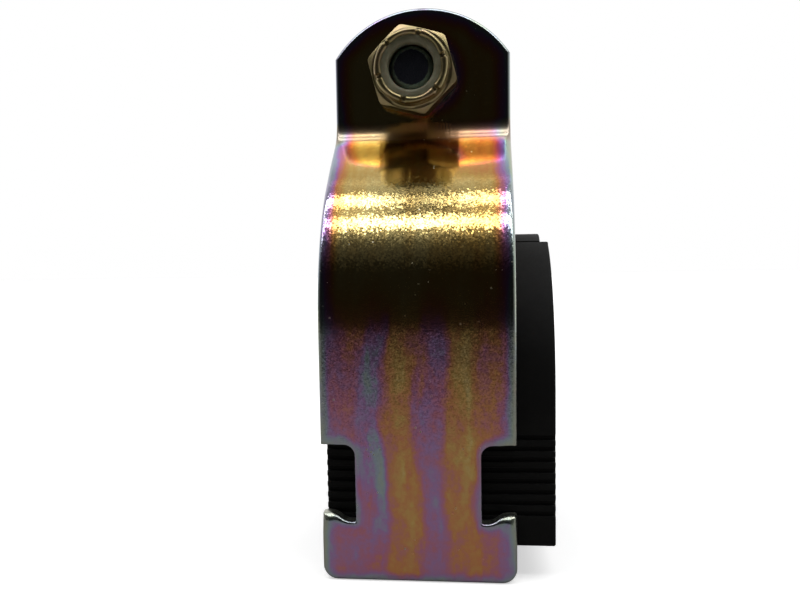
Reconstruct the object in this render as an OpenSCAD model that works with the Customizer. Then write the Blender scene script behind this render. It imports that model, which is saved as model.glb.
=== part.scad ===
// Cushioned strut pipe clamp: two formed strap halves, a slit elastomer ring that holds the tube,
// and a machine screw with a nylon insert lock nut through the ears.
// The origin is the centre of the tube seat. +X runs along the tube, +Z towards the ears,
// and the nut side is at -Y. The halves stand open, as the clamp is supplied.

/* [Tube and cushion] */
// Outside diameter of the tube that the cushion holds
tube_d = 44.45; // [40:0.05:50]
// Thickness of the ring on its two sides and over the top
cushion_wall = 4.1; // [3:0.1:5]
// Thickness of the flat base under the tube
base_t = 2.5; // [1.5:0.1:4]
// Length of the cushion along the tube
cushion_len = 37.6; // [34:0.1:42]
// Angle of the slit from straight up, towards the nut side
slit_angle = 18.4; // [12:0.2:24]
// Width of the slit that lets the tube in
slit_w = 0.5; // [0.3:0.1:1.5]
// How much shorter the flap over the crown is cut at its free end
flap_skew = 1.1; // [0.6:0.1:1.6]
// Distance between the grip ribs low on each side
rib_pitch = 1.8; // [1.4:0.1:2.6]
// Number of grooves between the grip ribs
rib_count = 8; // [3:1:8]
// Depth of the grooves between the grip ribs
rib_depth = 0.5; // [0.3:0.05:0.9]
// How far the cushion has slid down from its seat in the straps
cushion_drop = 11.45; // [8:0.05:13]
// How far the cushion has slid sideways in the straps
cushion_slip = 3.4; // [2:0.1:6]

/* [Straps] */
// Width of the strap
strap_w = 31.75; // [30:0.05:36]
// Thickness of the sheet
strap_t = 2.66; // [2:0.02:3.2]
// Clearance between the cushion and the curved seat
seat_gap = 1.1; // [0.9:0.1:1.6]
// Gap between the ears with the clamp closed on its tube
ear_gap = 5; // [4:0.1:7]
// Radius inside the bend between the seat and the ear
bend_r = 4.9; // [3.5:0.1:6]
// Height of the top of that bend over the centre of the seat
bend_z = 36; // [34:0.1:36.5]
// Radius of the round top of the ear
ear_r = 19.05; // [17.5:0.05:22]
// Height of the top of the ear over the centre of the seat
ear_top = 55.9; // [54:0.1:60]
// Diameter of the screw hole in each ear
ear_hole_d = 10.8; // [10.8:0.1:12]
// Height of the screw hole over the centre of the seat
hole_z = 44.2; // [43:0.1:46]
// Inward lean of the leg
leg_lean = 1.15; // [0:0.05:1.2]

/* [Hook tabs] */
// Width of the neck that passes through the slot of the channel
neck_w = 20.5; // [18:0.1:21.5]
// Depth of the top of the notches under the centre of the seat
notch_top = 18.9; // [16:0.1:21]
// Height of the notches beside the neck
notch_h = 12.8; // [10:0.1:14]
// Radius of the upper corner of a notch
notch_r = 1.8; // [1:0.1:2.5]
// Rise of the tooth at each outer corner of the tab
tooth_h = 1.4; // [1:0.1:2.4]
// Width of the level crest of the tooth
tooth_w = 1.2; // [0.8:0.1:1.6]
// Length over which the tooth falls from its crest to the neck
tooth_run = 3.8; // [3:0.1:4]
// Height of the tab under the notches
tab_h = 9.9; // [7:0.1:13]
// Radius of the lower corners of the tab
tab_r = 2.4; // [1:0.1:4]

/* [Screw and nut] */
// Major diameter of the screw thread
screw_d = 7.8; // [7.2:0.05:7.8]
// Length of the screw under its head
screw_len = 25.4; // [24.5:0.1:28]
// Diameter of the flat end of the screw
point_d = 6; // [5:0.1:6.4]
// Width of the screw head across its flats
head_af = 12.7; // [12:0.1:14]
// Height of the screw head
head_h = 5.6; // [4:0.1:7]
// Width of the driver slot across the head
slot_w = 1.6; // [1:0.1:2]
// Depth of the driver slot
slot_depth = 1.7; // [1:0.1:2.2]
// Reach of the cross recess from the middle of the head
cross_reach = 3.3; // [2.5:0.1:4]
// Depth of the cross recess
cross_depth = 3.4; // [2.5:0.1:3.8]
// How far the screw sits off the middle of the ear holes
screw_off = 1.4; // [0:0.05:1.4]
// Width of the nut across its flats
nut_af = 14.29; // [13.6:0.01:16]
// Height of the hexagon of the nut
nut_hex_h = 5.4; // [4.5:0.1:6.5]
// Height of the whole nut with its crimped collar
nut_h = 8.7; // [8.2:0.1:10]
// Outside diameter of the collar
collar_d = 12.9; // [12.4:0.1:13.4]
// Wall of the collar round the insert
collar_wall = 0.75; // [0.5:0.05:0.9]
// Angle of one corner of the nut as it stands
nut_angle = 45; // [0:1:60]
// Angle of one of the six crimps in the rim of the collar
crimp_angle = 16; // [0:1:60]
// Width of a crimp along the rim
crimp_w = 0.8; // [0.5:0.1:1.5]
// Depth of a crimp from the outer face of the rim
crimp_depth = 0.45; // [0.2:0.05:0.8]
// Running clearance round the screw in the nut
thread_gap = 0.06; // [0.03:0.01:0.1]
// How far the screw end sits below the outer face of the insert
tip_recess = 1.2; // [0.6:0.1:1.6]

/* [Hidden] */
$fn = 96;
past = 1;

// Cushion
tube_r = tube_d / 2;
cushion_r = tube_r + cushion_wall;
cushion_foot = tube_r + base_t;
groove_w = rib_pitch / 2;
groove_top = tube_r * 0.3;
flap_len = cushion_r * 1.3;

// Strap section, with its centre on the axis of the curved seat
seat_r = cushion_r + seat_gap;
back_r = seat_r + strap_t;
ear_y = ear_gap / 2 + strap_t;
bend_y = ear_y + bend_r;
bend_reach = back_r + bend_r;
ramp_len = sqrt(bend_y * bend_y + bend_z * bend_z - bend_reach * bend_reach);
wrap = atan2(bend_z, bend_y) - atan2(ramp_len, bend_reach);
tab_foot = notch_top + notch_h + tab_h;
ear_end = ear_top + past;
leg_len = (tab_foot - seat_r * sin(leg_lean)) / cos(leg_lean) + past;

// Screw and nut
screw_r = screw_d / 2;
insert_h = nut_h - nut_hex_h - 0.5;
insert_base = nut_hex_h;
insert_top = insert_base + insert_h;
collar_r = collar_d / 2;
insert_r = collar_r - collar_wall;
nut_bore_r = screw_r + thread_gap;
closed_grip = 2 * strap_t + ear_gap;
open_travel = screw_len - closed_grip - insert_top + tip_recess;

// Extrudes a drawing of the Y-Z plane along X, centred
module across(length) {
    rotate([90, 0, 90]) linear_extrude(length, center = true) children();
}

// Extrudes a drawing of the X-Z plane along Y, centred
module facing(depth) {
    rotate([90, 0, 0]) linear_extrude(depth, center = true) children();
}

// Everything inside a face of the bent sheet: face 0 lies on the cushion, face strap_t is the outside
module inside_of(face) {
    ear_face = -ear_gap / 2 - face;
    ramp_end = (seat_r + face) * [-cos(wrap), sin(wrap)] + ramp_len * [sin(wrap), cos(wrap)];
    difference() {
        union() {
            circle(seat_r + face, $fn = 180);
            rotate(leg_lean) translate([-seat_r - face, -leg_len]) square([seat_r + face, leg_len]);
            rotate(90 - wrap) square([ramp_len, seat_r + face]);
            polygon([[-bend_y, bend_z], ramp_end, [0, 0], [0, ear_end], [ear_face, ear_end],
                     [ear_face, bend_z]]);
        }
        translate([-bend_y, bend_z]) circle(bend_r + strap_t - face, $fn = 90);
    }
}

// Bent section of the nut-side strap: leg, curved seat, ramp, bend and ear
module strap_section() {
    difference() {
        inside_of(strap_t);
        inside_of(0);
        translate([-ear_gap / 2, -2 * tab_foot]) square([3 * back_r, 2 * tab_foot + 2 * ear_end]);
        translate([-seat_r / 2, -2 * tab_foot]) square([back_r, 2 * tab_foot]);
    }
}

// One notch beside the neck, with its tooth left standing at the outer corner of the tab
module notch() {
    foot = -notch_top - notch_h;
    reach = strap_w / 2 + past;
    difference() {
        union() {
            translate([neck_w / 2, foot]) square([reach - neck_w / 2, notch_h - notch_r]);
            translate([neck_w / 2 + notch_r, foot]) square([reach - neck_w / 2 - notch_r, notch_h]);
            translate([neck_w / 2 + notch_r, -notch_top - notch_r]) circle(notch_r, $fn = 48);
        }
        tooth(foot);
    }
}

// The raised outer corner of the tab: a level crest that falls to the neck in a round and a hollow of one radius
module tooth(foot) {
    half_run = tooth_run / 2;
    fall_r = (pow(half_run, 2) + pow(tooth_h / 2, 2)) / tooth_h;
    crest_x = strap_w / 2 - tooth_w;
    translate([crest_x, foot - past]) square([tooth_w + 2 * past, tooth_h + past]);
    intersection() {
        translate([crest_x - half_run, foot - past]) square([half_run + 0.01, tooth_h + 2 * past]);
        translate([crest_x, foot + tooth_h - fall_r]) circle(fall_r, $fn = 96);
    }
    difference() {
        translate([crest_x - tooth_run, foot - past]) square([half_run + 0.01, tooth_h / 2 + past]);
        translate([crest_x - tooth_run, foot + fall_r]) circle(fall_r, $fn = 96);
    }
}

// Outline of the strap seen from in front
module strap_outline() {
    ear_z = ear_top - ear_r;
    difference() {
        union() {
            translate([-strap_w / 2, -tab_foot + tab_r]) square([strap_w, ear_z + tab_foot - tab_r]);
            translate([-strap_w / 2 + tab_r, -tab_foot]) square([strap_w - 2 * tab_r, 2 * tab_r]);
            for (side = [-1, 1])
                translate([side * (strap_w / 2 - tab_r), -tab_foot + tab_r]) circle(tab_r, $fn = 48);
            intersection() {
                translate([0, ear_z]) circle(ear_r, $fn = 180);
                translate([-strap_w / 2, ear_z]) square([strap_w, ear_r + past]);
            }
        }
        notch();
        mirror([1, 0]) notch();
        translate([0, hole_z]) circle(d = ear_hole_d, $fn = 64);
    }
}

// One strap half with the centre of its curved seat at the origin and its ear on the -Y side
module strap() {
    intersection() {
        across(strap_w + 2 * past) strap_section();
        translate([0, -back_r / 2, 0]) facing(2 * back_r) strap_outline();
    }
}

// Puts a piece drawn about the curved seat where the seat stands over the slid cushion
module at_seat() {
    translate([-cushion_slip, 0, cushion_drop]) children();
}

// Puts a piece drawn along +Z on the screw axis, pointing out of the nut, from a given depth
module on_screw(y) {
    at_seat() translate([-screw_off, y, hole_z]) rotate([90, 0, 0]) children();
}

module near_strap() {
    color("darkkhaki") at_seat() strap();
}

module far_strap() {
    color("darkkhaki") at_seat() translate([0, open_travel, 0]) mirror([0, 1, 0]) strap();
}

module cushion_section() {
    difference() {
        union() {
            circle(cushion_r, $fn = 180);
            translate([-cushion_r, -cushion_foot]) square([2 * cushion_r, cushion_foot]);
        }
        translate([0, -cushion_foot - cushion_r]) square([4 * cushion_r, 2 * cushion_r], center = true);
        circle(tube_r, $fn = 180);
        rotate(slit_angle) translate([-slit_w / 2, 0]) square([slit_w, 2 * cushion_r]);
        for (side = [-1, 1], i = [0:rib_count - 1])
            translate([side * cushion_r, -groove_top - i * rib_pitch])
                square([2 * rib_depth, groove_w], center = true);
    }
}

// Slanted trim at the free end of the flap, which lies beside the slit on the far side
module flap_trim() {
    trim_angle = atan2(flap_skew, flap_len);
    intersection() {
        translate([cushion_len / 2 - flap_skew, 0, 0])
            rotate([0, 0, -trim_angle])
                translate([0, -cushion_r, tube_r * 0.5]) cube([2 * flap_skew, 3 * cushion_r, cushion_r]);
        across(2 * cushion_len)
            polygon([[0, 0], 2 * cushion_r * [-sin(slit_angle), cos(slit_angle)],
                     2 * cushion_r * [1, 1], 2 * cushion_r * [1, 0]]);
    }
}

module cushion() {
    color("#1b1b1c") difference() {
        across(cushion_len) cushion_section();
        flap_trim();
    }
}

module screw() {
    chamfer = (screw_d - point_d) / 2;
    color("#7f8a8a") on_screw(open_travel + ear_y) difference() {
        union() {
            cylinder(h = screw_len - chamfer, r = screw_r);
            translate([0, 0, screw_len - chamfer]) cylinder(h = chamfer, r1 = screw_r, r2 = point_d / 2);
            intersection() {
                translate([0, 0, -head_h]) cylinder(h = head_h, d = head_af / cos(30), $fn = 6);
                translate([0, 0, -head_h])
                    cylinder(h = head_h, r1 = head_af / 2 - 0.3, r2 = head_af / 2 - 0.3 + head_h * 1.7);
            }
        }
        translate([0, 0, -head_h]) cube([2 * head_af, slot_w, 2 * slot_depth], center = true);
        for (turn = [0, 90]) rotate(turn)
            translate([0, 0, -head_h]) cube([2 * cross_reach, slot_w, 2 * slot_depth + past], center = true);
        translate([0, 0, -head_h - 0.01]) cylinder(h = cross_depth, r1 = 2, r2 = 0.8);
    }
}

// Crimped bead of the collar, drawn beside the axis of the nut
module collar_section() {
    bead_r = 0.62;
    bead_x = collar_r - bead_r;
    translate([insert_r, 0]) square([collar_wall, nut_h - bead_r]);
    translate([insert_r - 0.5, nut_h - 2 * bead_r + 0.3]) square([bead_x - insert_r + 0.5, 2 * bead_r - 0.3]);
    translate([bead_x, nut_h - bead_r]) circle(bead_r, $fn = 48);
}

// The six dents that stake the rim of the collar over the insert
module crimps() {
    for (i = [0:5]) rotate(crimp_angle + 60 * i)
        translate([insert_r - past, -crimp_w / 2, nut_h - crimp_depth])
            cube([collar_wall + 2 * past, crimp_w, crimp_depth + past]);
}

module lock_nut() {
    color("#a89a58") on_screw(-ear_y) difference() {
        union() {
            intersection() {
                rotate(nut_angle) cylinder(h = nut_hex_h, d = nut_af / cos(30), $fn = 6);
                cylinder(h = nut_hex_h, r1 = nut_af / 2 + nut_hex_h * 1.7, r2 = nut_af / 2 - 0.1);
            }
            rotate_extrude() collar_section();
        }
        translate([0, 0, -past]) cylinder(h = nut_h, r = nut_bore_r);
        translate([0, 0, insert_base]) cylinder(h = insert_h, r = insert_r);
        crimps();
    }
}

module nylon_insert() {
    color("#b5ab90") on_screw(-ear_y) translate([0, 0, insert_base]) difference() {
        cylinder(h = insert_h, r = insert_r);
        translate([0, 0, -past]) cylinder(h = insert_h + 2 * past, r = nut_bore_r);
    }
}

near_strap();
far_strap();
cushion();
screw();
lock_nut();
nylon_insert();
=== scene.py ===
"""Looks of the strut pipe clamp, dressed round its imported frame. Lengths are millimetres until a mesh is made."""

import math

import bmesh
import bpy
import numpy as np
from mathutils import Matrix, Vector, geometry


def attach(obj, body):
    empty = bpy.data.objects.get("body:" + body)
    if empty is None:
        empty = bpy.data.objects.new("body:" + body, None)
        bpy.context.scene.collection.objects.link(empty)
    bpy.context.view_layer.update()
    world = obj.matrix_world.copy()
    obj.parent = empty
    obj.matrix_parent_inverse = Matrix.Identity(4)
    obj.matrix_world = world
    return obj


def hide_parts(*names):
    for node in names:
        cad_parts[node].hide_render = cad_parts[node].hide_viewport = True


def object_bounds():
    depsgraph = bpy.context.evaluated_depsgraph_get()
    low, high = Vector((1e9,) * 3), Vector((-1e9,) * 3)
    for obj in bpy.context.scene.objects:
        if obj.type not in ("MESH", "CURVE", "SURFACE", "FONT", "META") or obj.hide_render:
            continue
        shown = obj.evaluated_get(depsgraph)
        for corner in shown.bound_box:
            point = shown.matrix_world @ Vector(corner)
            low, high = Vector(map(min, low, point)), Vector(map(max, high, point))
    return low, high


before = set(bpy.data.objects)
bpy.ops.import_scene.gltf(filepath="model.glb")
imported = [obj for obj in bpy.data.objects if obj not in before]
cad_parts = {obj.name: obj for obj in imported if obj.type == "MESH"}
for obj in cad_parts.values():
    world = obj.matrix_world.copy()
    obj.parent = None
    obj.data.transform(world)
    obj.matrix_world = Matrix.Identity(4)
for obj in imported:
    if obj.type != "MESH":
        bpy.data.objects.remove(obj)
cad_low, cad_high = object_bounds()

MM = 0.001

# Where the straps and the screw stand in the row's frame
CUSHION_SLIP = 3.4
CUSHION_DROP = 11.45
OPEN_TRAVEL = 8.08

# Strap
STRAP_W = 31.75
STRAP_T = 2.66
EAR_GAP = 5.0
SEAT_R = 27.425
BACK_R = SEAT_R + STRAP_T
BEND_R = 4.9
BEND_Z = 36.0
EAR_R = 19.05
EAR_TOP = 55.9
EAR_HOLE_R = 5.4
HOLE_Z = 44.2
LEG_LEAN = math.radians(1.15)
RAMP_BELLY = 0.17
NECK_W = 20.5
NOTCH_TOP = 18.9
NOTCH_H = 12.8
NOTCH_R = 1.8
TOOTH_H = 1.4
TOOTH_W = 1.2
TOOTH_RUN = 3.8
TAB_H = 9.9
TAB_R = 2.4
DIE_ROLL = 0.75
TOOTH_ROLL = 1.65
BURR = 0.22

# Cushion
TUBE_R = 22.225
CUSHION_R = 26.325
CUSHION_FOOT = 24.725
CUSHION_LEN = 37.6
SLIT_ANGLE = math.radians(18.4)
SLIT_W = 0.5
FLAP_SKEW = 1.1
RIB_PITCH = 1.8
RIB_COUNT = 8
RIB_DEPTH = 0.5

# Screw and nut
SCREW_OFF = 1.4
SCREW_R = 3.9
SCREW_LEN = 25.4
POINT_R = 3.0
THREAD_PITCH = 25.4 / 18
HEAD_AF = 12.7
HEAD_H = 5.6
SLOT_W = 1.6
SLOT_DEPTH = 1.7
NUT_AF = 14.29
NUT_HEX_H = 5.4
NUT_H = 8.7
COLLAR_R = 6.45
INSERT_R = 5.7
INSERT_H = 2.8
NUT_BORE_R = 3.96
NUT_ANGLE = math.radians(45)
CRIMP_ANGLE = math.radians(16)

EAR_Y = EAR_GAP / 2 + STRAP_T


def seat_place(points, far=False):
    """Strap coordinates to the row's frame; the far half is the near one turned to the other side."""
    p = np.array(points, float)
    if far:
        p = p * [1, -1, 1] + [0, OPEN_TRAVEL, 0]
    return p + [-CUSHION_SLIP, 0, CUSHION_DROP]


def axis_place(points, start_y):
    """A piece drawn along +Z about the screw axis, pointing at the nut side, to the row's frame."""
    p = np.array(points, float)
    x, up, out = p[:, 0], p[:, 1], p[:, 2]
    return seat_place(np.stack([x - SCREW_OFF, start_y - out, up + HOLE_Z], axis=1))


def add_mesh(name, points, faces, body, nodes, material, crease=40, layers=None):
    """Makes one piece from points in millimetres, hangs it on the body it rides on, and hides the imported parts it
    stands in for.
    """
    mesh = bpy.data.meshes.new(name)
    mesh.from_pydata((np.array(points) * MM).tolist(), [], faces)
    mesh.validate()
    mesh.shade_smooth()
    mesh.set_sharp_from_angle(angle=math.radians(crease))
    for key, values in (layers or {}).items():
        values = np.array(values, np.float32)
        kind = "FLOAT_VECTOR" if values.ndim == 2 else "FLOAT"
        layer = mesh.attributes.new(key, kind, "POINT")
        layer.data.foreach_set("vector" if values.ndim == 2 else "value", values.ravel())
    mesh.materials.append(material)
    piece = bpy.data.objects.new(name, mesh)
    bpy.context.scene.collection.objects.link(piece)
    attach(piece, body)
    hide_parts(*nodes)
    return piece


# Strap halves

def strap_runs():
    """Runs of the outer face from the foot to the ear top: length, and a function to y, z and the outward normal."""
    bend_y = EAR_Y + BEND_R
    reach = BACK_R + BEND_R
    ramp = math.sqrt(bend_y ** 2 + BEND_Z ** 2 - reach ** 2)
    wrap = math.atan2(BEND_Z, bend_y) - math.atan2(ramp, reach)
    leg = (foot_depth() - BACK_R * math.sin(LEG_LEAN)) / math.cos(LEG_LEAN)
    arc = BACK_R * (wrap + LEG_LEAN)
    bend = BEND_R * wrap

    def on_leg(s):
        a = np.full_like(s, -LEG_LEAN)
        return -BACK_R * np.cos(a) - (s - leg) * np.sin(LEG_LEAN), BACK_R * np.sin(a) + (s - leg) * np.cos(a), a

    def on_arc(s):
        a = s / BACK_R - LEG_LEAN
        return -BACK_R * np.cos(a), BACK_R * np.sin(a), a

    def on_ramp(s):
        a = np.full_like(s, wrap)
        out = BACK_R + RAMP_BELLY * np.sin(math.pi * (s / ramp) ** 0.75) ** 2
        return -out * np.cos(a) + s * np.sin(a), out * np.sin(a) + s * np.cos(a), a

    def on_bend(s):
        a = wrap - s / BEND_R
        return -bend_y + BEND_R * np.cos(a), BEND_Z - BEND_R * np.sin(a), a

    def on_ear(s):
        return np.full_like(s, -EAR_Y), BEND_Z + s, np.zeros_like(s)

    return [(leg, on_leg), (arc, on_arc), (ramp, on_ramp), (bend, on_bend), (EAR_TOP - BEND_Z, on_ear)]


def foot_depth():
    return NOTCH_TOP + NOTCH_H + TAB_H


RUNS = strap_runs()
STARTS = np.concatenate([[0], np.cumsum([length for length, _ in RUNS])])
LEG_END, ARC_END, RAMP_END, BEND_END, STRAP_END = STARTS[1:]


def bend_sheet(flat):
    """Bends points of the flat blank: across, along the outer face, and depth under that face."""
    across, along, depth = np.array(flat, float).T
    y, z, a = (np.zeros_like(along) for _ in range(3))
    run = np.clip(np.searchsorted(STARTS, along, side="right") - 1, 0, len(RUNS) - 1)
    for i, (_, place) in enumerate(RUNS):
        here = run == i
        y[here], z[here], a[here] = place(along[here] - STARTS[i])
    return np.stack([across, y + depth * np.cos(a), z - depth * np.sin(a)], axis=1)


def arc_points(centre, radius, start, end, step=0.3):
    count = max(2, math.ceil(abs(end - start) * radius / step) + 1)
    return [(centre[0] + radius * math.cos(a), centre[1] + radius * math.sin(a)) for a in np.linspace(start, end, count)]


def blank_rows():
    """Distances along the blank at which the grid has a row: close together where the sheet is bent."""
    steps = [1.2, 0.6, 0.7, 0.28, 1.0]
    rows = [np.linspace(a, b, math.ceil((b - a) / step) + 1) for a, b, step in zip(STARTS, STARTS[1:], steps)]
    return np.unique(np.round(np.concatenate(rows), 4))


def blank_outline():
    """Right half of the blank's edge, from the foot to the ear's top, in flat coordinates."""
    half, neck = STRAP_W / 2, NECK_W / 2
    tooth_r = ((TOOTH_RUN / 2) ** 2 + (TOOTH_H / 2) ** 2) / TOOTH_H
    swing = math.asin(TOOTH_RUN / 2 / tooth_r)
    crest_x, low = half - TOOTH_W, TAB_H
    right = [(0, 0), *((x, 0) for x in np.linspace(1, half - TAB_R - 0.6, 11))]
    right += arc_points((half - TAB_R, TAB_R), TAB_R, -math.pi / 2, 0)
    right += [(half, s) for s in np.linspace(TAB_R + 0.6, TAB_H + TOOTH_H - 0.5, 10)]
    right += arc_points((half - 0.4, low + TOOTH_H - 0.4), 0.4, 0, math.pi / 2, 0.1)
    right += arc_points((crest_x, low + TOOTH_H - tooth_r), tooth_r, math.pi / 2, math.pi / 2 + swing)
    right += arc_points((crest_x - TOOTH_RUN, low + tooth_r), tooth_r, swing - math.pi / 2, -math.pi / 2)
    right += arc_points((neck + 0.35, low + 0.35), 0.35, -math.pi / 2, -math.pi, 0.08)
    top = low + NOTCH_H
    right += [(neck, s) for s in np.linspace(low + 0.8, top - NOTCH_R - 0.5, 14)]
    right += arc_points((neck + NOTCH_R, top - NOTCH_R), NOTCH_R, math.pi, math.pi / 2)
    right += [(x, top) for x in np.linspace(neck + NOTCH_R + 0.5, half - 0.7, 6)]
    right += arc_points((half - 0.25, top + 0.25), 0.25, -math.pi / 2, 0, 0.08)
    shoulder = BEND_END + EAR_TOP - EAR_R - BEND_Z + math.sqrt(EAR_R ** 2 - half ** 2)
    right += [(half, s) for s in blank_rows() if top + 0.6 < s < shoulder - 0.4]
    ear_centre = (0, BEND_END + EAR_TOP - EAR_R - BEND_Z)
    right += arc_points(ear_centre, EAR_R, math.acos(half / EAR_R), math.pi / 2, 0.55)
    thin = [right[0]]
    for p in right[1:]:
        if math.dist(p, thin[-1]) > 0.05:
            thin.append(p)
    left = [(-x, s) for x, s in reversed(thin[1:-1])]
    return np.array(thin + left)


def distance_to(points, loops):
    """Distance of each point from the nearest edge of the loops."""
    best = np.full(len(points), 1e9)
    for loop in loops:
        for a, b in zip(loop, np.roll(loop, -1, axis=0)):
            d = b - a
            t = np.clip(((points - a) @ d) / (d @ d), 0, 1)
            best = np.minimum(best, np.hypot(*(points - a - t[:, None] * d).T))
    return best


def inside(points, loops):
    """True where a point is inside the first loop and outside the holes."""
    odd = np.zeros(len(points), bool)
    for loop in loops:
        for a, b in zip(loop, np.roll(loop, -1, axis=0)):
            spans = (a[1] > points[:, 1]) != (b[1] > points[:, 1])
            rise = b[1] - a[1] if b[1] != a[1] else 1e-12
            odd ^= spans & (points[:, 0] < a[0] + (points[:, 1] - a[1]) * (b[0] - a[0]) / rise)
    return odd


def roll_radius(points):
    """The die rolls the edge over further at the raised teeth, and less in the notches beside the neck."""
    across, along = np.abs(points[:, 0]), points[:, 1]
    crest = np.hypot((across - STRAP_W / 2 + 0.6) / 2.4, (along - TAB_H - TOOTH_H) / 2.4)
    notch = (along > TAB_H - 1) & (along < TAB_H + NOTCH_H + 1.5)
    beside = np.clip((STRAP_W / 2 - 1 - across) / 2, 0, 1) * notch
    return DIE_ROLL - 0.35 * beside + (TOOTH_ROLL - DIE_ROLL) * np.exp(-crest ** 2)


def rolled(distance, radius):
    """Depth of a rounded edge at a distance in from it."""
    d = np.clip(radius - distance, 0, radius)
    return radius - np.sqrt(radius ** 2 - d ** 2)


def flat_sheet():
    """Triangles of the blank, with points packed close along its edges for their rounding."""
    hole = np.array(arc_points((0, BEND_END + HOLE_Z - BEND_Z), EAR_HOLE_R, 0, -2 * math.pi, 0.6)[:-1])
    loops = [blank_outline(), hole]
    points, edges = [], []
    for loop in loops:
        first = len(points)
        points += loop.tolist()
        edges += [(first + i, first + (i + 1) % len(loop)) for i in range(len(loop))]
    rim = len(points)
    for turn in np.radians([22, 36, 48, 60, 74, 90]):
        for loop in loops:
            inset = roll_radius(loop) * (1 - math.cos(turn))
            ahead, behind = np.roll(loop, -1, axis=0) - loop, loop - np.roll(loop, 1, axis=0)
            lead = np.stack([-ahead[:, 1], ahead[:, 0]], 1) / np.hypot(*ahead.T)[:, None]
            trail = np.stack([-behind[:, 1], behind[:, 0]], 1) / np.hypot(*behind.T)[:, None]
            miter = lead + trail
            ring = loop + (inset * 2 / (miter ** 2).sum(1))[:, None] * miter
            points += ring[distance_to(ring, loops) > inset - 0.02].tolist()
    columns = np.linspace(-STRAP_W / 2, STRAP_W / 2, 25)
    grid = np.array([(x, s) for s in blank_rows() for x in columns])
    grid = grid[inside(grid, loops)]
    points += grid[distance_to(grid, loops) > roll_radius(grid) + 0.3].tolist()
    made = geometry.delaunay_2d_cdt([Vector(p) for p in points], edges, [], 0, 1e-5)
    flat = np.array([tuple(v) for v in made[0]])
    triangles = np.array(made[2])
    triangles = triangles[inside(flat[triangles].mean(1), loops)]
    old = {o: new for new, olds in enumerate(made[3]) for o in olds}
    edges = [(old[a], old[b]) for a, b in edges]
    return flat, triangles, edges, distance_to(flat, loops)


FLAT, TRIANGLES, RIM_EDGES, EDGE_DISTANCE = flat_sheet()


def strap_half(name, far, body, node, material):
    count = len(FLAT)
    roll = roll_radius(FLAT)
    outer = np.column_stack([FLAT, rolled(EDGE_DISTANCE, roll)])
    inner = np.column_stack([FLAT, STRAP_T - rolled(EDGE_DISTANCE, BURR)])
    flat = [outer, inner]
    cut = [np.zeros(count), np.zeros(count)]
    a, b, c = TRIANGLES.T
    up = np.cross(FLAT[b] - FLAT[a], FLAT[c] - FLAT[a]) > 0
    front = np.where(up[:, None], TRIANGLES, TRIANGLES[:, ::-1])
    faces = [tuple(t) for t in front.tolist()] + [tuple(i + count for i in t[::-1]) for t in front.tolist()]
    walls = np.linspace(0, 1, 5)
    rim = sorted({i for edge in RIM_EDGES for i in edge})
    level = [{i: i for i in rim}]
    base = 2 * count
    for share in walls[1:-1]:
        level.append({i: base + n for n, i in enumerate(rim)})
        flat.append(np.column_stack([FLAT[rim], roll[rim] + (STRAP_T - BURR - roll[rim]) * share]))
        cut.append(np.ones(len(rim)))
        base += len(rim)
    level.append({i: i + count for i in rim})
    cut[0][rim] = 0.6
    cut[1][rim] = 0.6
    for upper, lower in zip(level, level[1:]):
        faces += [(upper[j], upper[i], lower[i], lower[j]) for i, j in RIM_EDGES]
    flat = np.concatenate(flat)
    points = seat_place(bend_sheet(flat), far)
    if far:
        faces = [f[::-1] for f in faces]
    edge = np.concatenate([EDGE_DISTANCE, EDGE_DISTANCE, np.zeros(len(flat) - 2 * count)])
    blank = np.column_stack([flat[:, 0] + (70 if far else 0), flat[:, 1], edge])
    layers = {"blank": blank, "cut": np.concatenate(cut), "depth": flat[:, 2]}
    return add_mesh(name, points, faces, body, [node], material, 50, layers)


# Cushion

def cushion_loop():
    """Section of the slit ring in the Y-Z plane, one closed loop from the near lip of the slit to the far one."""
    gap = SLIT_W / 2
    lip = math.pi / 2 + SLIT_ANGLE
    outer_turn, inner_turn = math.asin(gap / CUSHION_R), math.asin(gap / TUBE_R)
    corner = CUSHION_R
    groove_top = TUBE_R * 0.3
    far_outer, near_outer = lip - outer_turn, lip + outer_turn
    loop = arc_points((0, 0), CUSHION_R, near_outer, math.pi, 0.9)
    for side in (-1, 1):
        levels = []
        for i in range(RIB_COUNT):
            z = -groove_top - i * RIB_PITCH
            for dz, depth in ((0.45, 0), (0.3, 1), (-0.3, 1), (-0.45, 0)):
                levels.append((side * (CUSHION_R - depth * RIB_DEPTH), z + dz))
        wall = [(side * CUSHION_R, -0.3 * k) for k in range(1, 20, 3)]
        wall = [p for p in wall if p[1] > -groove_top + 0.6]
        foot = [(side * corner, -CUSHION_FOOT + 0.5), (side * (corner - 0.15), -CUSHION_FOOT + 0.15),
                (side * (corner - 0.5), -CUSHION_FOOT)]
        column = wall + levels + foot
        loop += column if side < 0 else column[::-1]
        if side < 0:
            loop += [(y, -CUSHION_FOOT) for y in np.linspace(-corner + 2, corner - 2, 20)]
    loop += arc_points((0, 0), CUSHION_R, 0, far_outer, 0.9)
    loop += arc_points((0, 0), TUBE_R, lip - inner_turn, lip + inner_turn - 2 * math.pi, 0.9)
    thin = [loop[0]]
    for p in loop[1:]:
        if math.dist(p, thin[-1]) > 0.04:
            thin.append(p)
    return np.array(thin)


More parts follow.
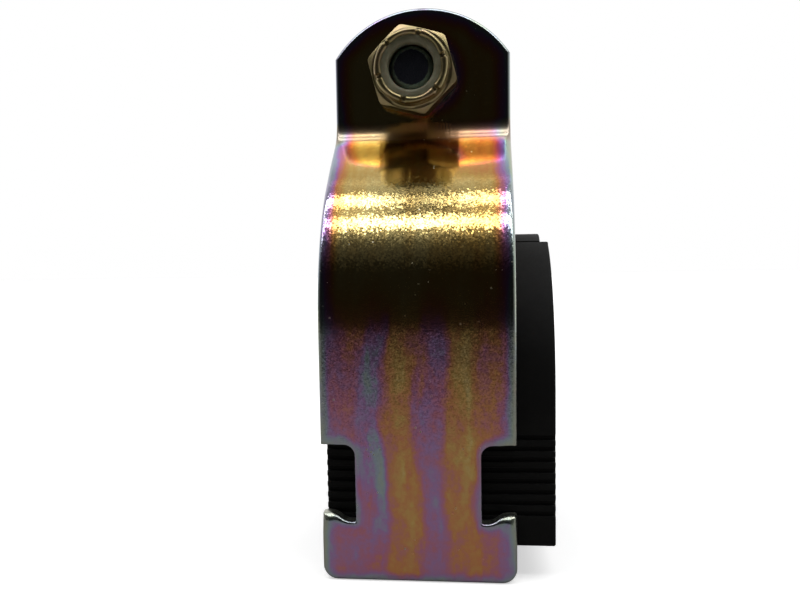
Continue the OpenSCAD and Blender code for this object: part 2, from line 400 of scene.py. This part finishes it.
def cushion_ring(material):
    loop = cushion_loop()
    turn = np.roll(loop, -1, axis=0) - np.roll(loop, 1, axis=0)
    normal = np.stack([turn[:, 1], -turn[:, 0]], 1) / np.hypot(*turn.T)[:, None]
    area = 0.5 * np.sum(loop[:, 0] * np.roll(loop[:, 1], -1) - np.roll(loop[:, 0], -1) * loop[:, 1])
    normal *= np.sign(area)
    round_r = 0.35
    ends = [(-1, k) for k in np.radians([0, 30, 60, 90])]
    stations = [(side * (CUSHION_LEN / 2 - round_r * (1 - math.sin(a))), round_r * (1 - math.cos(a)))
                for side, a in ((-1, k) for k in np.radians([90, 60, 30, 0]))]
    stations += [(x, 0) for x in np.linspace(-CUSHION_LEN / 2 + 2, CUSHION_LEN / 2 - 2, 15)]
    stations += [(-x, inset) for x, inset in reversed(stations[:4])]
    on_flap = far_flap(loop)
    points = []
    for x, inset in stations:
        section = loop - normal * inset
        trim = on_flap * np.clip((x - CUSHION_LEN / 4) / (CUSHION_LEN / 4), 0, 1)
        points.append(np.column_stack([x - trim, section]))
    n = len(loop)
    faces = []
    for k in range(len(stations) - 1):
        for i in range(n):
            j = (i + 1) % n
            quad = (k * n + i, k * n + j, (k + 1) * n + j, (k + 1) * n + i)
            faces.append(quad if area < 0 else quad[::-1])
    made = geometry.delaunay_2d_cdt([Vector(p) for p in loop], [(i, (i + 1) % n) for i in range(n)], [], 0, 1e-6)
    flat = np.array([tuple(v) for v in made[0]])
    new_to_old = [olds[0] for olds in made[3]]
    caps = [t for t in made[2] if inside(flat[list(t)].mean(0)[None], [loop])[0]]
    last = (len(stations) - 1) * n
    for t in caps:
        a, b, c = (new_to_old[i] for i in t)
        ccw = np.cross(loop[b] - loop[a], loop[c] - loop[a]) > 0
        faces.append((c, b, a) if ccw else (a, b, c))
        faces.append((last + a, last + b, last + c) if ccw else (last + c, last + b, last + a))
    return add_mesh("cushion_ring", np.concatenate(points), faces, "nut_side", ["cushion"],
                    material, 35)


def far_flap(section):
    """How much shorter the flap over the crown is at its free end, for each point of the section."""
    y, z = section.T
    flap_len = CUSHION_R * 1.3
    past_slit = y * math.cos(SLIT_ANGLE) + z * math.sin(SLIT_ANGLE) > 0
    cut = np.clip(FLAP_SKEW - y * FLAP_SKEW / flap_len, 0, None)
    fade = np.clip((z / TUBE_R - 0.35) / 0.3, 0, 1)
    return cut * fade * past_slit


# Turned and threaded pieces

def ring_surface(rings, closed=True):
    """Joins rings of equally many points. Closed rings of a tube make a ring-shaped solid."""
    n = len(rings[0])
    points = np.concatenate(rings)
    faces = []
    count = len(rings)
    for k in range(count if closed else count - 1):
        a, b = k * n, ((k + 1) % count) * n
        faces += [(a + i, a + (i + 1) % n, b + (i + 1) % n, b + i) for i in range(n)]
    return points, faces


def hexagon(angle, turn, flats, soft=0.25):
    """Radius of a hexagon with eased corners at each angle."""
    off = (angle - turn + math.pi / 6) % (math.pi / 3) - math.pi / 6
    reach = flats / 2 / np.cos(math.pi / 6 - np.abs(off))
    corner = flats / 2 / math.cos(math.pi / 6)
    return reach - soft * np.exp(-(np.abs(off) / 0.035) ** 2) * 0.6 * (reach / corner)


def ring(radius, height, angle):
    radius = np.broadcast_to(radius, angle.shape)
    height = np.broadcast_to(height, angle.shape)
    return np.column_stack([radius * np.cos(angle), radius * np.sin(angle), height])


def crimped_nut(material):
    angle = np.linspace(0, 2 * math.pi, 360, endpoint=False)
    hexa = hexagon(angle, NUT_ANGLE, NUT_AF)
    shoulder = NUT_AF / 2 - 0.1
    off = (angle - CRIMP_ANGLE + math.pi / 6) % (math.pi / 3) - math.pi / 6
    dent = np.exp(-(np.abs(off) * COLLAR_R / 0.42) ** 4)
    swell = 0.06 * np.cos(6 * (angle - CRIMP_ANGLE) + math.pi)

    def hex_top(radius):
        return NUT_HEX_H - np.clip(radius - shoulder, 0, None) / 1.7

    foot = NUT_AF / 2 - 0.35
    rings = [ring(NUT_BORE_R, 0.5, angle), ring(NUT_BORE_R + 0.5, 0, angle), ring(foot - 0.1, 0, angle),
             ring(foot, 0.03, angle)]
    for share in (0.5, 1.0):
        radius = foot + (hexa - foot) * share
        rings.append(ring(radius, 0.03 + 0.5 * (radius - foot), angle))
    side_low = 0.03 + 0.5 * (hexa - foot)
    side_high = hex_top(hexa)
    for share in (0.04, 0.3, 0.6, 0.96):
        rings.append(ring(hexa, side_low + (side_high - side_low) * share, angle))
    for share in (1.0, 0.75, 0.5, 0.25, 0.06):
        radius = shoulder + (hexa - shoulder) * share
        rings.append(ring(radius - (0.03 if share == 1.0 else 0), hex_top(radius), angle))
    rings += [ring(shoulder - 0.08, NUT_HEX_H, angle), ring(COLLAR_R + 0.38, NUT_HEX_H - 0.02, angle)]
    rings += [ring(COLLAR_R + 0.08 - swell, NUT_HEX_H + 0.12, angle),
              ring(COLLAR_R - 0.03 - swell, NUT_HEX_H + 0.5, angle)]
    bead = 0.62
    for turn in np.radians([-30, 0, 25, 50, 70, 90, 110, 130, 150]):
        x = COLLAR_R - bead + bead * math.cos(turn)
        z = NUT_H - bead + bead * math.sin(turn)
        sink = dent * 0.5 * max(0.0, math.sin(turn) + 0.25)
        rings.append(ring(x - swell * math.cos(turn) - dent * 0.28 * max(math.cos(turn), 0), z - sink, angle))
    lip = INSERT_R - 0.42
    rings += [ring(lip + 0.1 + 0.12 * dent, NUT_H - 0.22 - dent * 0.34, angle),
              ring(lip, NUT_H - 0.36 - dent * 0.2, angle), ring(lip + 0.04, NUT_H - 0.49, angle)]
    rings += [ring(INSERT_R, NUT_H - 0.5, angle), ring(INSERT_R, NUT_HEX_H, angle), ring(NUT_BORE_R + 0.4, NUT_HEX_H, angle),
              ring(NUT_BORE_R, NUT_HEX_H - 0.4, angle)]
    points, faces = ring_surface(rings)
    return add_mesh("crimped_nut", axis_place(points, -EAR_Y), faces, "nut", ["lock_nut"],
                    material, 32)


def insert_ring(material):
    angle = np.linspace(0, 2 * math.pi, 180, endpoint=False)
    base, top = NUT_HEX_H, NUT_HEX_H + INSERT_H
    bore = NUT_BORE_R
    wave = 0.03 * np.sin(3 * angle) + 0.02 * np.sin(7 * angle + 1)
    rings = [ring(bore, base + 0.1, angle), ring(bore + 0.1, base, angle), ring(INSERT_R - 0.2, base, angle),
             ring(INSERT_R, base + 0.2, angle), ring(INSERT_R, top - 0.06, angle), ring(INSERT_R - 0.25, top, angle),
             ring(INSERT_R - 0.9, top - 0.02, angle), ring(bore + 0.55, top - 0.05 + wave * 0.4, angle),
             ring(bore + 0.28, top - 0.12 + wave, angle), ring(bore + 0.1, top - 0.3 + wave, angle),
             ring(bore, top - 0.6, angle)]
    points, faces = ring_surface(rings)
    return add_mesh("insert_ring", axis_place(points, -EAR_Y), faces, "nut", ["nylon_insert"],
                    material, 60)


def thread_depth(phase):
    """How far the thread is cut at a phase of its pitch: flat crest, sloping flanks, narrow root."""
    return np.clip((np.abs(phase - 0.5) * 2 - 0.22) / 0.62, 0, 1)


def threaded_screw(material):
    around, per_pitch = 72, 14
    angle = np.linspace(0, 2 * math.pi, around, endpoint=False)
    cut = 0.61 * THREAD_PITCH
    tip = SCREW_LEN
    chamfer = SCREW_R - POINT_R
    rings = []
    neck_end = 1.2
    heights = np.arange(neck_end, tip - 0.02, THREAD_PITCH / per_pitch)
    for z in [0.0, 0.15, neck_end - 0.1, *heights, tip - 0.02]:
        phase = ((z / THREAD_PITCH) - angle / (2 * math.pi)) % 1
        run_in = np.clip((z - neck_end) / 1.0, 0, 1)
        radius = SCREW_R - cut * thread_depth(phase) * run_in - 0.02
        limit = POINT_R + np.clip(tip - z, 0, chamfer) / chamfer * (SCREW_R - POINT_R)
        rings.append(ring(np.minimum(radius, limit), z, angle))
    for r, drop in ((POINT_R - 0.1, 0.0), (POINT_R * 0.7, 0.05), (POINT_R * 0.35, 0.03), (0.05, 0.03)):
        rings.append(ring(r, tip - drop, angle))
    shank, shank_faces = ring_surface(rings, closed=False)
    last = len(shank)
    shank_faces.append(tuple(last - around + i for i in range(around)))

    head_angle = np.linspace(0, 2 * math.pi, around, endpoint=False)
    hexa = hexagon(head_angle, 0, HEAD_AF)
    shoulder = HEAD_AF / 2 - 0.3
    head = [ring(SCREW_R - 0.02, 0, head_angle), ring(SCREW_R + 0.4, 0, head_angle), ring(shoulder, 0, head_angle)]
    head += [ring(hexa - 0.12, -0.02, head_angle), ring(hexa, -0.16, head_angle)]
    high = -HEAD_H + (hexa - shoulder) / 1.7
    head += [ring(hexa, -0.3, head_angle), ring(hexa, high + 0.2, head_angle), ring(hexa - 0.04, high, head_angle)]
    for share in (0.66, 0.33, 0.0):
        radius = shoulder + (hexa - shoulder) * share
        head.append(ring(radius, -HEAD_H + (radius - shoulder) / 1.7, head_angle))
    head += [ring(shoulder - 0.2, -HEAD_H, head_angle), ring(0.05, -HEAD_H, head_angle)]
    top, top_faces = ring_surface(head, closed=False)
    top_faces.append(tuple(len(top) - around + i for i in range(around)))
    points = np.concatenate([shank, top])
    faces = shank_faces + [tuple(i + last for i in f[::-1]) for f in top_faces]
    faces = [f if n < len(shank_faces) else f for n, f in enumerate(faces)]
    body = solid_of(points, faces)
    for cutter in recess_cutters():
        body = carve(body, cutter)
    points = np.array([tuple(v.co) for v in body.data.vertices])
    faces = [tuple(p.vertices) for p in body.data.polygons]
    bpy.data.objects.remove(body)
    start = OPEN_TRAVEL + EAR_Y
    end_face = (np.hypot(points[:, 0], points[:, 1]) < POINT_R + 0.02) & (points[:, 2] > SCREW_LEN - 0.05)
    return add_mesh("threaded_screw", axis_place(points, start), faces, "screw", ["screw"],
                    material, 35, {"end_face": end_face.astype(float)})


def solid_of(points, faces):
    """A loose object with welded points and outward faces, for cutting."""
    mesh = bpy.data.meshes.new("cutting")
    mesh.from_pydata(np.array(points).tolist(), [], faces)
    made = bmesh.new()
    made.from_mesh(mesh)
    bmesh.ops.remove_doubles(made, verts=made.verts, dist=1e-4)
    bmesh.ops.recalc_face_normals(made, faces=made.faces)
    made.to_mesh(mesh)
    made.free()
    solid = bpy.data.objects.new("cutting", mesh)
    bpy.context.scene.collection.objects.link(solid)
    return solid


def recess_cutters():
    """The driver slot across the head, and the tapered cross under it."""
    def block(reach, half, depth, foot_share, turn):
        points = []
        for z, share in ((-HEAD_H - 1, 1.0), (-HEAD_H, 1.0), (-HEAD_H + depth, foot_share)):
            for sx, sy in ((-1, -1), (1, -1), (1, 1), (-1, 1)):
                x, y = sx * reach * share, sy * half * (0.5 + 0.5 * share)
                points.append((x * math.cos(turn) - y * math.sin(turn), x * math.sin(turn) + y * math.cos(turn), z))
        faces = [(3, 2, 1, 0), (8, 9, 10, 11)]
        for k in (0, 4):
            faces += [(k + i, k + (i + 1) % 4, k + 4 + (i + 1) % 4, k + 4 + i) for i in range(4)]
        return solid_of(points, faces)

    yield block(HEAD_AF, SLOT_W / 2, SLOT_DEPTH, 1.0, 0)
    for turn in (0.0, math.pi / 2):
        yield block(3.3, 0.75, 3.3, 0.35, turn)


def carve(body, cutter):
    change = body.modifiers.new("carve", "BOOLEAN")
    change.operation, change.object, change.solver = "DIFFERENCE", cutter, "EXACT"
    depsgraph = bpy.context.evaluated_depsgraph_get()
    made = bpy.data.meshes.new_from_object(body.evaluated_get(depsgraph))
    body.modifiers.clear()
    body.data = made
    bpy.data.objects.remove(cutter)
    return body


# Shader graphs

class Wire:
    """A socket whose arithmetic adds the nodes that do it."""

    def __init__(self, graph, socket):
        self.graph, self.socket = graph, socket

    def _pair(self, operation, other, swap=False):
        a, b = (other, self) if swap else (self, other)
        kinds = {w.socket.type for w in (a, b) if isinstance(w, Wire)}
        if "RGBA" in kinds:
            settings = {"data_type": "RGBA", "blend_type": operation}
            return self.graph.node("ShaderNodeMix", settings, {0: 1.0, 6: a, 7: b}, 2)
        if "VECTOR" in kinds:
            return self.graph.node("ShaderNodeVectorMath", {"operation": operation}, {0: a, 1: b})
        return self.graph.node("ShaderNodeMath", {"operation": operation}, {0: a, 1: b})

    def __add__(self, other): return self._pair("ADD", other)
    def __radd__(self, other): return self._pair("ADD", other, True)
    def __sub__(self, other): return self._pair("SUBTRACT", other)
    def __rsub__(self, other): return self._pair("SUBTRACT", other, True)
    def __mul__(self, other): return self._pair("MULTIPLY", other)
    def __rmul__(self, other): return self._pair("MULTIPLY", other, True)
    def __truediv__(self, other): return self._pair("DIVIDE", other)
    def __rtruediv__(self, other): return self._pair("DIVIDE", other, True)
    def __neg__(self): return 0 - self
    def __abs__(self): return self.graph.node("ShaderNodeMath", {"operation": "ABSOLUTE"}, {0: self})
    def __pow__(self, other): return self._pair("POWER", other)

    def top(self, other): return self._pair("MAXIMUM", other)
    def low(self, other): return self._pair("MINIMUM", other)

    def fade(self, start, end, low=0.0, high=1.0):
        """Goes smoothly from low to high as the value goes from start to end."""
        settings = {"interpolation_type": "SMOOTHSTEP"}
        return self.graph.node("ShaderNodeMapRange", settings, {0: self, 1: start, 2: end, 3: low, 4: high})

    def ramp(self, *stops):
        return self.graph.node("ShaderNodeValToRGB", {"stops": stops}, {0: self})

    def blend(self, first, second):
        """First where the value is 0, second where it is 1."""
        return self.graph.node("ShaderNodeMix", {"data_type": "RGBA"}, {0: self, 6: first, 7: second}, 2)


class Graph:
    """Node tree of a material or the world."""

    def __init__(self, owner):
        owner.use_nodes = True
        self.tree = owner.node_tree
        self.tree.nodes.clear()

    def node(self, kind, settings=None, sockets=None, out=0):
        made = self.tree.nodes.new(kind)
        for key, value in (settings or {}).items():
            if key == "stops":
                ramp = made.color_ramp
                for place, colour in value[2:]:
                    ramp.elements.new(place).color = (*colour, 1)
                for element, (place, colour) in zip((ramp.elements[0], ramp.elements[-1]), (value[0], value[1])):
                    element.position, element.color = place, (*colour, 1)
            else:
                setattr(made, key, value)
        for key, value in (sockets or {}).items():
            socket = made.inputs[key]
            if isinstance(value, Wire):
                self.tree.links.new(value.socket, socket)
            elif isinstance(value, tuple) and socket.type == "RGBA":
                socket.default_value = (*value[:3], 1)
            elif socket.type == "VECTOR" and not isinstance(value, tuple):
                socket.default_value = (value,) * 3
            elif socket.type == "RGBA":
                socket.default_value = (value, value, value, 1)
            else:
                socket.default_value = value
        return Wire(self, made.outputs[out]) if made.outputs else None

    def layer(self, name, out=2):
        return self.node("ShaderNodeAttribute", {"attribute_name": name}, out=out)

    def place(self):
        """The point on the piece in millimetres."""
        return self.node("ShaderNodeTexCoord", out=3) * 1000.0

    def parts(self, vector):
        split = self.node("ShaderNodeSeparateXYZ", sockets={0: vector}).socket.node
        return [Wire(self, split.outputs[i]) for i in range(3)]

    def vector(self, x, y, z):
        return self.node("ShaderNodeCombineXYZ", sockets={0: x, 1: y, 2: z})

    def noise(self, vector, scale, detail=2.0, rough=0.5):
        return self.node("ShaderNodeTexNoise", sockets={"Vector": vector, "Scale": scale, "Detail": detail,
                                                        "Roughness": rough})

    def cells(self, vector, scale, out=0, **settings):
        return self.node("ShaderNodeTexVoronoi", settings, {"Vector": vector, "Scale": scale}, out)

    def background_rays(self, behind):
        """1 for the camera's rays, and for those by which metal shows the white behind the object."""
        camera, glossy, clear = (self.node("ShaderNodeLightPath", out=i) for i in (0, 3, 6))
        return (camera + (glossy + clear) * behind).low(1.0)

    def bump(self, height, strength, distance, normal=None):
        sockets = {"Height": height, "Strength": strength, "Distance": distance}
        if normal is not None:
            sockets["Normal"] = normal
        return self.node("ShaderNodeBump", sockets=sockets)


def material(name, **surface):
    """A new material and the node graph for it; its one Principled shader is added later by finish_surface. The
    surface argument is not used.
    """
    made = bpy.data.materials.new(name)
    return made, Graph(made)


def finish_surface(graph, **sockets):
    names = {key.replace("_", " ").title().replace("Ior", "IOR"): value for key, value in sockets.items()}
    shader = graph.node("ShaderNodeBsdfPrincipled", sockets=names)
    graph.node("ShaderNodeOutputMaterial", sockets={0: shader})


def film_colour(film):
    """Interference colours of the yellow passivation, from thin to thick."""
    return film.ramp((0.0, (0.74, 0.59, 0.24)), (1.0, (0.50, 0.48, 0.36)),
                     (0.16, (0.68, 0.43, 0.12)), (0.30, (0.68, 0.28, 0.10)), (0.44, (0.58, 0.20, 0.31)),
                     (0.58, (0.43, 0.24, 0.53)), (0.72, (0.34, 0.42, 0.52)), (0.86, (0.40, 0.50, 0.38)))


# Film on the leg from its left side to its right: places from 0 to 1, film from thin to thick
STRIPE_REACH = 16
LEG_STRIPES = ((0.0, 0.74), (1.0, 0.80), (0.07, 0.56), (0.20, 0.40), (0.25, 0.70), (0.32, 0.78), (0.36, 0.30),
               (0.43, 0.14), (0.49, 0.26), (0.54, 0.60), (0.62, 0.56), (0.66, 0.22), (0.75, 0.12), (0.82, 0.28),
               (0.89, 0.42), (0.95, 0.58))


def yellow_zinc_sheet():
    made, g = material("yellow_zinc_sheet")
    laid, along, edge = g.parts(g.layer("blank", 1))
    cut = g.layer("cut")
    depth = g.layer("depth")
    across = laid - laid.fade(34, 36) * 70.0
    where = g.place()

    # Zones along the blank: leg, seat, and the ramp and bend that the tool has ironed smooth
    leg = along.fade(LEG_END + 12, LEG_END - 4)
    ironed = along.fade(ARC_END - 1.5, ARC_END + 3)
    ear = along.fade(BEND_END - 1.2, BEND_END + 0.2)
    bend = along.fade(RAMP_END - 1.5, RAMP_END + 0.5) * (1 - ear)

    # Thickness of the film
    streaks = g.noise(g.vector(laid * 0.34, along * 0.05, 3.0), 1.0, 3.0, 0.55)
    sway = g.noise(g.vector(laid * 0.10, along * 0.06, 5.0), 1.0, 2.0)
    drawn = (across + (sway - 0.5) * 5.0 + (streaks - 0.5) * 3.0) / (2 * STRIPE_REACH) + 0.5
    stripes = drawn.ramp(*((at, (film, film, film)) for at, film in LEG_STRIPES))
    clouds = g.noise(g.vector(laid * 0.16, along * 0.14, 9.0), 1.0, 2.0)
    mottle = g.noise(where, 1.1, 3.0, 0.6)
    broken = g.noise(g.vector(laid * 0.22, along * 0.09, 17.0), 1.0, 3.0, 0.6)
    foot = along.fade(TAB_H + 3, TAB_H - 5)
    strong = (broken.fade(0.34, 0.62, 0.35, 1.0)) * (1 - foot * 0.5)
    on_leg = 0.40 + (stripes - 0.40) * strong + (streaks - 0.5) * 0.40 + (clouds - 0.5) * 0.35 + (mottle - 0.5) * 0.30
    above = edge.fade(4.2, 1.0, 0.03, 0.44) + across.fade(-4, 12, 0.0, 0.09) + (streaks - 0.5) * 0.35
    above = above + (mottle - 0.5) * 0.12 + bend * edge.fade(7.0, 1.0, 0.02, 0.20)
    above = above + ironed * (1 - ear) * across.fade(-10, 10, 0.06, 0.14)
    rim = edge + (broken - 0.5) * 3.0 + (mottle - 0.5) * 1.0
    film = above + leg * (on_leg - above) + rim.fade(1.9, 0.4, 0.0, 0.26)
    dull = leg * clouds * 0.22 + rim.fade(1.3, 0.2, 0.0, 0.40)
    bright = dull.blend(film_colour(film), (0.40, 0.38, 0.375))
    # Painted shade: the concave bend's colour is pulled six tenths of the way to a dark brown, which dims the
    # reflection in the bend
    bright = (bend * 0.6).blend(bright, (0.34, 0.25, 0.20))

    # Grain: small facets that sparkle on the stretched seat, less on the leg, hardly any where ironed
    facets = g.cells(where, 3.8, 1)
    coarse = g.noise(where, 3.4, 2.0, 0.65)
    fine = g.noise(where, 9.0, 1.0)
    tilt = 0.076 - leg * 0.030 - ironed * 0.064
    shaken = g.node("ShaderNodeNewGeometry", out=1) + (facets - 0.5) * g.vector(tilt * 0.4, tilt, tilt)
    marks = g.noise(g.vector(laid * 2.6, along * 0.06, 1.0), 1.0, 2.0, 0.8)
    marked = along.fade(RAMP_END - 4.5, RAMP_END - 3) * along.fade(BEND_END - 0.5, BEND_END - 1.5)
    marked = marked * abs(across - 0.8).fade(5.5, 3.5)

    specks = g.cells(where, 0.8, 0).fade(0.16, 0.09) * g.noise(where, 0.22, 1.0).fade(0.57, 0.70)
    shear = g.noise(g.vector(laid * 2.5, along * 2.5, depth * 0.3), 1.0, 2.0)
    rough = 0.085 + leg * 0.165 + ironed * 0.03 - ear * 0.01 + bend * 0.12 + (coarse - 0.5) * 0.08
    colour = cut.blend(bright, shear.ramp((0.3, (0.34, 0.35, 0.31)), (0.7, (0.60, 0.60, 0.54))))
    colour = (specks * 0.8).blend(colour, (0.62, 0.58, 0.44))
    height = coarse * (0.5 + leg * 0.4 - ironed * 0.4) + fine * (0.25 + leg * 0.1 - ironed * 0.2) + shear * cut * 1.2 + marks * marked * depth.fade(1.3, 0.7) * 7.0
    normal = g.bump(height, 0.6, 0.02 * MM, shaken)
    finish_surface(g, base_color=colour, metallic=1.0, roughness=rough + cut * 0.1 + specks * 0.25, normal=normal)
    return made


def olive_zinc_nut():
    made, g = material("olive_zinc_nut")
    where = g.place()
    clouds = g.noise(where, 0.35, 2.0)
    mottle = g.noise(where, 2.6, 3.0, 0.6)
    tint = clouds * 0.6 + mottle * 0.4
    colour = tint.ramp((0.3, (0.30, 0.27, 0.12)), (0.72, (0.52, 0.36, 0.24)), (0.5, (0.42, 0.34, 0.17)))
    normal = g.bump(mottle, 0.3, 0.03 * MM)
    finish_surface(g, base_color=colour, metallic=1.0, roughness=0.24 + mottle * 0.16, normal=normal)
    return made


def blue_zinc_screw():
    made, g = material("blue_zinc_screw")
    where = g.place()
    mottle = g.noise(where, 1.6, 3.0, 0.6)
    grit = g.noise(where, 7.0, 2.0)
    end_face = g.layer("end_face")
    colour = mottle.ramp((0.3, (0.25, 0.34, 0.33)), (0.75, (0.45, 0.53, 0.49)), (0.5, (0.32, 0.42, 0.40)))
    dark = grit.ramp((0.35, (0.030, 0.036, 0.050)), (0.7, (0.085, 0.085, 0.105)))
    normal = g.bump(grit + mottle, 0.6, 0.04 * MM)
    finish_surface(g, base_color=end_face.blend(colour, dark), metallic=1.0,
                   roughness=0.24 + mottle * 0.2 + end_face * 0.12, normal=normal)
    return made


def natural_nylon():
    made, g = material("natural_nylon")
    where = g.place()
    haze = g.noise(where, 0.8, 2.0)
    scuff = g.noise(where, 6.0, 3.0, 0.6)
    colour = haze.ramp((0.3, (0.22, 0.21, 0.13)), (0.7, (0.31, 0.29, 0.19)))
    normal = g.bump(scuff, 0.3, 0.03 * MM)
    finish_surface(g, base_color=colour, roughness=0.42 + scuff * 0.2, subsurface_weight=0.15,
                   subsurface_scale=0.0008, normal=normal)
    return made


def black_elastomer():
    made, g = material("black_elastomer")
    where = g.place()
    bloom = g.noise(where, 0.12, 3.0, 0.6)
    skin = g.noise(where, 3.0, 3.0, 0.65)
    colour = bloom.ramp((0.3, (0.0045, 0.0045, 0.0045)), (0.75, (0.009, 0.009, 0.0085)))
    normal = g.bump(skin, 0.4, 0.03 * MM)
    finish_surface(g, base_color=colour, roughness=0.66 + (skin - 0.5) * 0.2, specular_ior_level=0.14, normal=normal)
    return made


# Studio

def studio_world():
    """White behind the object; soft light overhead, a dim room in front, and a pale one to the sides and back."""
    world = bpy.data.worlds.new("studio")
    bpy.context.scene.world = world
    g = Graph(world)
    x, y, z = g.parts(g.node("ShaderNodeTexCoord", out=0))
    height = g.node("ShaderNodeMath", {"operation": "ARCTAN2"}, {0: z, 1: -y}) * (180 / math.pi)
    room = height.fade(50, 68) ** 2 * 0.55 + height.fade(34, 60, 0.009, 0.08) + height.fade(-30, -60, 0.0, 0.4)
    front_panel = height.fade(65.5, 68) * height.fade(75, 72.5)
    top_panel = height.fade(84, 87) * height.fade(95.5, 92.5)
    room = room + front_panel * 5.0 + top_panel * 5.0 - height.fade(94, 104, 0.0, 0.15)
    stand = height.fade(76, 80) * height.fade(101, 97) * abs(x + 0.060).fade(0.048, 0.022)
    room = room * (1 - stand * 0.95)
    beside = abs(x).fade(0.55, 0.9)
    side = y.fade(-0.6, 0.3, 0.12, 0.7) * x.fade(-0.3, 0.3, 0.5, 1.0)
    level = room * (1 - beside) + beside * side
    seen = g.background_rays(y.fade(0.15, 0.5))
    strength = level * (1 - seen) + seen
    light = g.node("ShaderNodeBackground", sockets={"Color": (1.0, 1.0, 1.0), "Strength": strength})
    g.node("ShaderNodeOutputWorld", sockets={0: light})


def studio_floor():
    """A pale sheet; the metal sees it dimmer than the camera does, as it would under a hood."""
    made, g = material("pale_floor")
    grain = g.noise(g.place(), 0.05, 2.0)
    tone = grain.ramp((0.3, (0.80, 0.80, 0.80)), (0.7, (0.82, 0.82, 0.82)))
    paper = g.node("ShaderNodeBsdfPrincipled", sockets={"Base Color": tone, "Roughness": 0.8,
                                                        "Specular IOR Level": 0.1})
    glow = g.node("ShaderNodeEmission", sockets={"Color": (1.0, 1.0, 1.0), "Strength": 0.55})
    both = g.node("ShaderNodeAddShader", sockets={0: paper, 1: glow})
    dim = g.node("ShaderNodeBsdfDiffuse", sockets={"Color": (0.36, 0.35, 0.34)})
    behind = g.parts(g.place())[1].fade(45, 90)
    seen = g.background_rays(behind)
    shown = g.node("ShaderNodeMixShader", sockets={0: seen, 1: dim, 2: both})
    g.node("ShaderNodeOutputMaterial", sockets={0: shown})
    mesh = bpy.data.meshes.new("floor")
    low = cad_low.z
    mesh.from_pydata([(-0.9, -0.205, low), (0.9, -0.205, low), (0.9, 1.2, low), (-0.9, 1.2, low)], [], [(0, 1, 2, 3)])
    mesh.materials.append(made)
    floor = bpy.data.objects.new("floor", mesh)
    bpy.context.scene.collection.objects.link(floor)


# Camera: focal length and middle of the picture in pixels of the 800 x 600 frame, turns about the picture's axes
FOCAL_PX = 926.25
MIDDLE_PX = (360.0, 320.0)
VIEW_TURN = (0.0877, 0.1302, -0.0133)
EYE = (10.45, -176.42, 14.43)


def camera():
    turn = Vector(VIEW_TURN)
    level = Matrix(((1, 0, 0), (0, 0, -1), (0, 1, 0)))
    rows = Matrix.Rotation(turn.length, 3, turn.normalized()) @ level
    data = bpy.data.cameras.new("camera")
    data.sensor_width = 36
    data.lens = 36 * FOCAL_PX / 800
    data.shift_x = (400 - MIDDLE_PX[0]) / 800
    data.shift_y = (MIDDLE_PX[1] - 300) / 800
    data.clip_start, data.clip_end = 0.01, 10
    view = bpy.data.objects.new("camera", data)
    eye = seat_place([EYE])[0] * MM
    columns = Matrix((rows[0], -rows[1], -rows[2])).transposed().to_4x4()
    view.matrix_world = Matrix.Translation(eye) @ columns
    bpy.context.scene.collection.objects.link(view)
    bpy.context.scene.camera = view


sheet = yellow_zinc_sheet()
strap_half("near_half", False, "nut_side", "near_strap", sheet)
strap_half("far_half", True, "head_side", "far_strap", sheet)
cushion_ring(black_elastomer())
crimped_nut(olive_zinc_nut())
insert_ring(natural_nylon())
threaded_screw(blue_zinc_screw())

studio_world()
studio_floor()
camera()
bpy.context.scene.view_settings.view_transform = "Standard"
